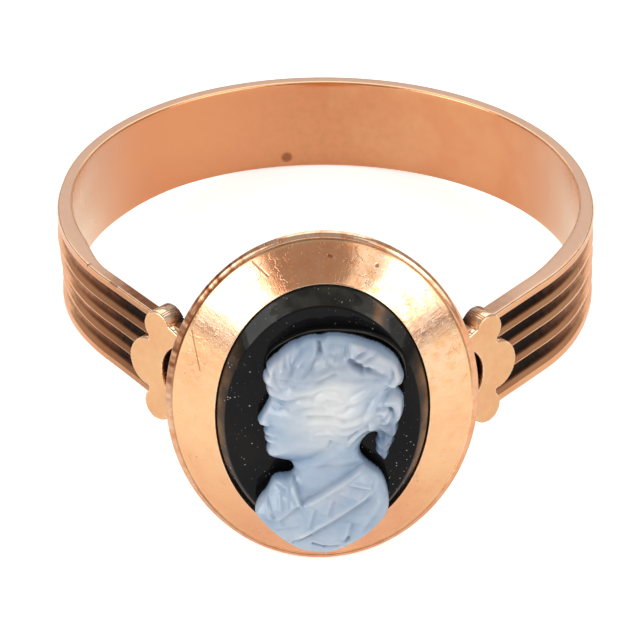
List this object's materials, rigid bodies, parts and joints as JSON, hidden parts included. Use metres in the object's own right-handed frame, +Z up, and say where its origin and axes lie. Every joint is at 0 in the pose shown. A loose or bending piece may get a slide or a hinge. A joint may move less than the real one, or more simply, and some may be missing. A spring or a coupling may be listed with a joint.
{
  "type": "cameo ring",
  "caption": "Finger ring with ridged shoulders, clover plates and an oval bezel that holds a raised two-layer cameo of a classical bust.",
  "frame": {"origin": "bottom centre of the ring's bounding box, on the surface that it lies on", "axes": "+Z up from the surface, -Y towards the cameo's front, +X to the right as one looks at the cameo; the finger axis leans 12.9 degrees from +Z towards +Y"},
  "size_m": [0.019, 0.0246, 0.0126],
  "materials": {
    "rose_gold": "worn polished rose gold with darkened grooves",
    "black_onyx": "polished black onyx",
    "pale_onyx": "satin carved bluish white onyx"
  },
  "bodies": {
    "root": {"gold_mount": "rose_gold", "onyx_ground": "black_onyx", "cameo_bust": "pale_onyx"}
  },
  "joints": []
}
